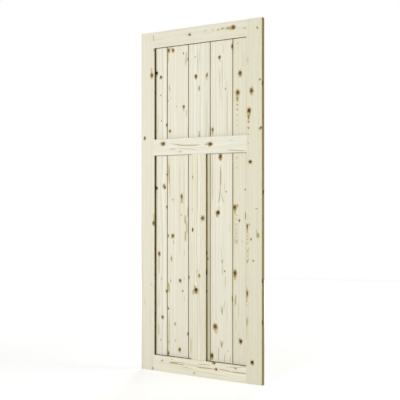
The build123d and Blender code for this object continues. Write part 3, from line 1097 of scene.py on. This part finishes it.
    def _fifth(self) -> PlanedPine:
        """Greyer board beside the right stile, with feathers and rows of V marks.

        Returns:
            Its finish.
        """
        tones = PinePalette("e6e3d1", "d8d3bd", "a08b58")
        marks = (
            Knot(229, 1990, 3.6, BLACK, 2.3), Streak(232, 1985, 5, 56, 0.6), Feather(262, 2015, 8, -110, 0.5),
            Knot(278, 1826, 11.1, BROWN, 1.2, 0.95), Knot(261, 1713, 12.5, BROWN, 1.0, 0.97),
            Flame(260, 1700, 8, -38, 9, 1.06), Flame(259, 1650, 8, -16, 5, 0.9),
            Flame(259, 1622, 8, -16, 5, 0.9), Flame(259, 1588, 7, -14, 5, 0.5),
            Flame(257, 1556, 7, -14, 5, 0.3), Flame(257, 1526, 8, -16, 5, 0.35),
            Feather(256, 1340, 12, -160, 0.5), Knot(312, 1137, 4.5, OLIVE, 1.1, 0.7),
            Knot(259, 1042, 6.5, TAN, 1.1, 0.6), Knot(241, 1032, 11.7, BROWN, 1.05),
            Streak(242, 1006, 8, 20, 0.9), Streak(300, 1900, 20, 60, 0.12), Flame(252, 994, 8, -16, 5, 0.5),
            Flame(252, 976, 11, -24, 4, 0.6), Flame(251, 946, 12, -26, 4, 0.6),
            Flame(251, 916, 12, -26, 4, 0.6), Flame(252, 896, 12, -26, 4, 0.65),
            Flame(252, 874, 12, -24, 4, 0.5), Flame(252, 852, 12, -34, 9, 0.55),
            Streak(313, 982, 5, 30, 1.35), Knot(273, 955, 4.8, GREY, 1.1), Knot(291, 832, 4, TAN, 1.1, 0.3),
            Knot(243, 641, 11.2, BROWN, 1.4), Streak(243, 612, 7, 18, 0.9), Streak(249, 483, 6.5, 40, 0.95),
            Streak(240, 465, 3, 30, 0.6), Knot(275, 250, 8, TAN, 1.1, 0.5), Knot(282, 240, 10, DARK, 1.0),
            Streak(251, 330, 6, 40, 0.3), Streak(266, 420, 5, 50, 0.3), Streak(236, 170, 8, 110, 0.1),
            # Streak(318, 1100, 8, 900, 0.15) is painted shade: a faint band along the corner beside the right
            # stile
            Streak(318, 1100, 8, 900, 0.15), Streak(233, 1050, 5, 430, 0.35),
        )
        return PlanedPine("board_5_pine", Grain.UPRIGHT, 420.0, 55.0, 59.0, tones, 0.6, marks, (), BEVELS)


@dataclass(frozen=True)
class Fastenings:
    """The dowels inside the corner joints and the nails that hold the boards at the back."""

    dowel_prefix: str = "dowels_"
    nail_prefix: str = "nails_"

    def dress(self) -> None:
        """Dress every dowel and nail."""
        finishes = {self.dowel_prefix: BeechDowel().material(), self.nail_prefix: BrightWire().material()}
        for node in sorted(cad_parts):
            for prefix, material in finishes.items():
                if node.startswith(prefix):
                    dress(node, material)


@dataclass(frozen=True)
class BarnDoorLeaf:
    """The whole door leaf."""

    groups: NodeGroups = field(default_factory=NodeGroups)

    def dress(self) -> None:
        """Dress the frame, then the boards, then what holds them together."""
        DoorFrame(self.groups).dress()
        BoardPanel(self.groups).dress()
        Fastenings().dress()


@dataclass(frozen=True)
class AreaLamp:
    """A soft rectangular lamp that points at a spot on the door; lengths are metres."""

    name: str
    place: Place
    aim: Place
    width: float
    height: float
    watts: float

    def build(self) -> None:
        """Add the lamp."""
        data = bpy.data.lights.new(self.name, "AREA")
        data.shape = "RECTANGLE"
        data.size = self.width
        data.size_y = self.height
        data.energy = self.watts
        lamp = bpy.data.objects.new(self.name, data)
        bpy.context.scene.collection.objects.link(lamp)
        lamp.location = self.place
        lamp.rotation_euler = (Vector(self.aim) - Vector(self.place)).to_track_quat("-Z", "Y").to_euler()
        log.info("lamp %s, %.0f W", self.name, self.watts)


WHITE = linear("ffffff")
BACKGROUND_RAYS = ("Camera", "Glossy", "Transmission")
LAMPS = (
    AreaLamp("key", (-0.4, -6.0, 2.0), (0.0, 0.0, 1.1), 2.6, 2.6, 287.0),
    AreaLamp("side", (3.2, 0.9, 1.3), (0.43, 0.0, 1.05), 1.4, 2.4, 50.0),
    AreaLamp("back", (-1.6, 5.0, 2.6), (0.0, 0.0, 1.1), 2.6, 2.6, 170.0),
)


@dataclass(frozen=True)
class Studio:
    """The floor, the sky and the lamps."""

    floor_half_width: float = 30.0
    floor_cells: int = 8
    sky_strength: float = 0.14
    floor_tone: str = "e6e6e4"
    near_glow: float = 0.5
    far_glow: float = 0.9
    near_reach: float = 1.5
    far_reach: float = 7.0

    def build(self) -> None:
        """Set up everything round the door."""
        self._floor()
        self._sky()
        for lamp in LAMPS:
            lamp.build()

    @staticmethod
    def _seen(tree: Tree) -> Value:
        """Tell the rays that show a background: straight, mirrored or through glass.

        Args:
            tree: The node tree.

        Returns:
            1 for such a ray, or else 0.
        """
        rays = add(tree, "LightPath").outputs
        straight, mirrored, through = (Value(rays[f"Is {kind} Ray"]) for kind in BACKGROUND_RAYS)
        return straight.larger(mirrored).larger(through)

    def _floor(self) -> None:
        """Lay a pale floor that a camera sees as white outside the door's shadow.

        The lamps light it less further out, so what the camera sees in it glows more there.
        """
        cells = {"x_subdivisions": self.floor_cells, "y_subdivisions": self.floor_cells}
        bpy.ops.mesh.primitive_grid_add(size=2 * self.floor_half_width, **cells)
        floor = bpy.context.object
        floor.name = "floor"
        material = bpy.data.materials.new("studio_floor")
        tree = empty_tree(material)
        paint = add(tree, "BsdfDiffuse", Color=linear(self.floor_tone))
        away = add(tree, "VectorMath", {"operation": "LENGTH"}, in_0=place_on(tree))
        ends = {"From_Min": self.near_reach, "From_Max": self.far_reach}
        ends |= {"To_Min": self.near_glow, "To_Max": self.far_glow}
        rise = Value(add(tree, "MapRange", Value=Value(away.outputs["Value"]), **ends).outputs[0])
        light = add(tree, "Emission", Color=WHITE, Strength=self._seen(tree) * rise)
        both = add(tree, "AddShader", in_0=paint, in_1=light)
        add(tree, "OutputMaterial", Surface=both)
        floor.data.materials.append(material)

    def _sky(self) -> None:
        """Make the world white to the camera and a soft grey light to the door."""
        world = bpy.data.worlds.new("studio_sky")
        bpy.context.scene.world = world
        tree = empty_tree(world)
        strength = self._seen(tree) * (1.0 - self.sky_strength) + self.sky_strength
        sky = add(tree, "Background", Color=WHITE, Strength=strength)
        add(tree, "OutputWorld", Surface=sky)


@dataclass(frozen=True)
class PhotoCamera:
    """The photograph's viewpoint: level, at half the door's height and to its right.

    Lengths are metres. The door's middle shows a little below the picture's middle.
    """

    azimuth: float = 32.2
    across: float = 2.531
    in_front: float = 4.003
    focal_pixels: float = 779.0
    picture_pixels: float = 400.0
    middle_column: float = 200.1
    middle_row: float = 201.4
    sensor_width: float = 36.0
    far_clip: float = 200.0

    def build(self) -> None:
        """Add the camera and make it the scene's."""
        data = bpy.data.cameras.new("photo_camera")
        data.sensor_width = self.sensor_width
        data.lens = self.sensor_width * self.focal_pixels / self.picture_pixels
        data.shift_x = (self.picture_pixels / 2 - self.middle_column) / self.picture_pixels
        data.shift_y = (self.middle_row - self.picture_pixels / 2) / self.picture_pixels
        data.dof.use_dof = False
        data.clip_end = self.far_clip
        camera = bpy.data.objects.new("photo_camera", data)
        bpy.context.scene.collection.objects.link(camera)
        camera.location = (self.across, FRONT_FACE - self.in_front, MIDDLE_HEIGHT)
        camera.rotation_euler = (math.pi / 2, 0.0, math.radians(self.azimuth))
        bpy.context.scene.camera = camera
        log.info("camera at %s", tuple(round(value, 3) for value in camera.location))


def main() -> None:
    """Dress the door, then set up the camera and the studio."""
    logging.basicConfig(level=logging.INFO, format="%(name)s: %(message)s")
    bpy.context.scene.view_settings.view_transform = "Standard"
    PhotoCamera().build()
    BarnDoorLeaf().dress()
    Studio().build()


if __name__ == "__main__":
    main()
